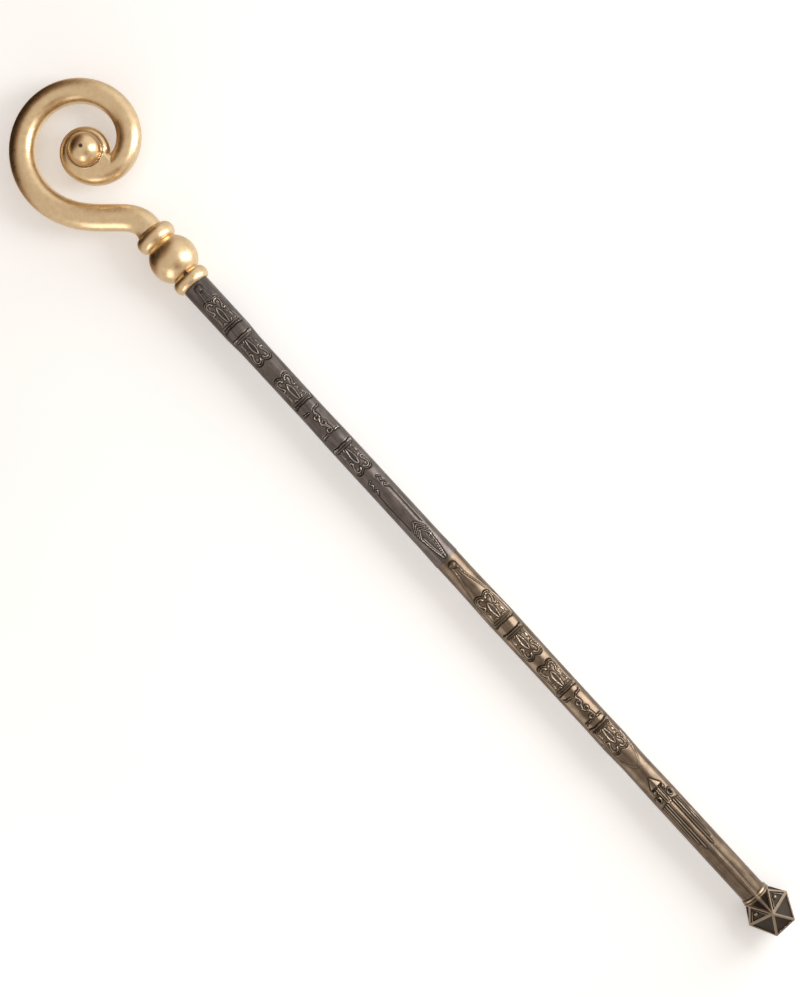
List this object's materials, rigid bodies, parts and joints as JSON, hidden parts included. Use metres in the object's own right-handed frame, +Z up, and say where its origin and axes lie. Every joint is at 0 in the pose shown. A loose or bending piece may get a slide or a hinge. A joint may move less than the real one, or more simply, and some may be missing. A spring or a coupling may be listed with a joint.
{
  "type": "bishop crosier",
  "caption": "Ceremonial bishop's staff: gilt spiral crook with a ball boss, a ball knop between rings, and a dark staff in relief that ends in a faceted pommel.",
  "frame": {"origin": "under the middle of the part's box, on the surface that it lies on", "axes": "+Y along the staff, from the pommel to the crook; +X to the right, seen from above with the crook away; +Z up, out of the face of the crook"},
  "size_m": [0.1774, 1.3968, 0.0694],
  "materials": {
    "gold_spray": "satin gold metallic spray on moulded plastic",
    "dark_steel": "darkened screw head",
    "pewter_finish": "dark pewter metallic finish, rubbed on the raised relief",
    "bronze_finish": "dark antique bronze metallic finish, rubbed on the raised relief"
  },
  "bodies": {
    "root": {"crook_head": "gold_spray", "screw_knop": "dark_steel", "screw_boss": "dark_steel", "staff_upper": "pewter_finish", "staff_lower": "bronze_finish"}
  },
  "joints": []
}
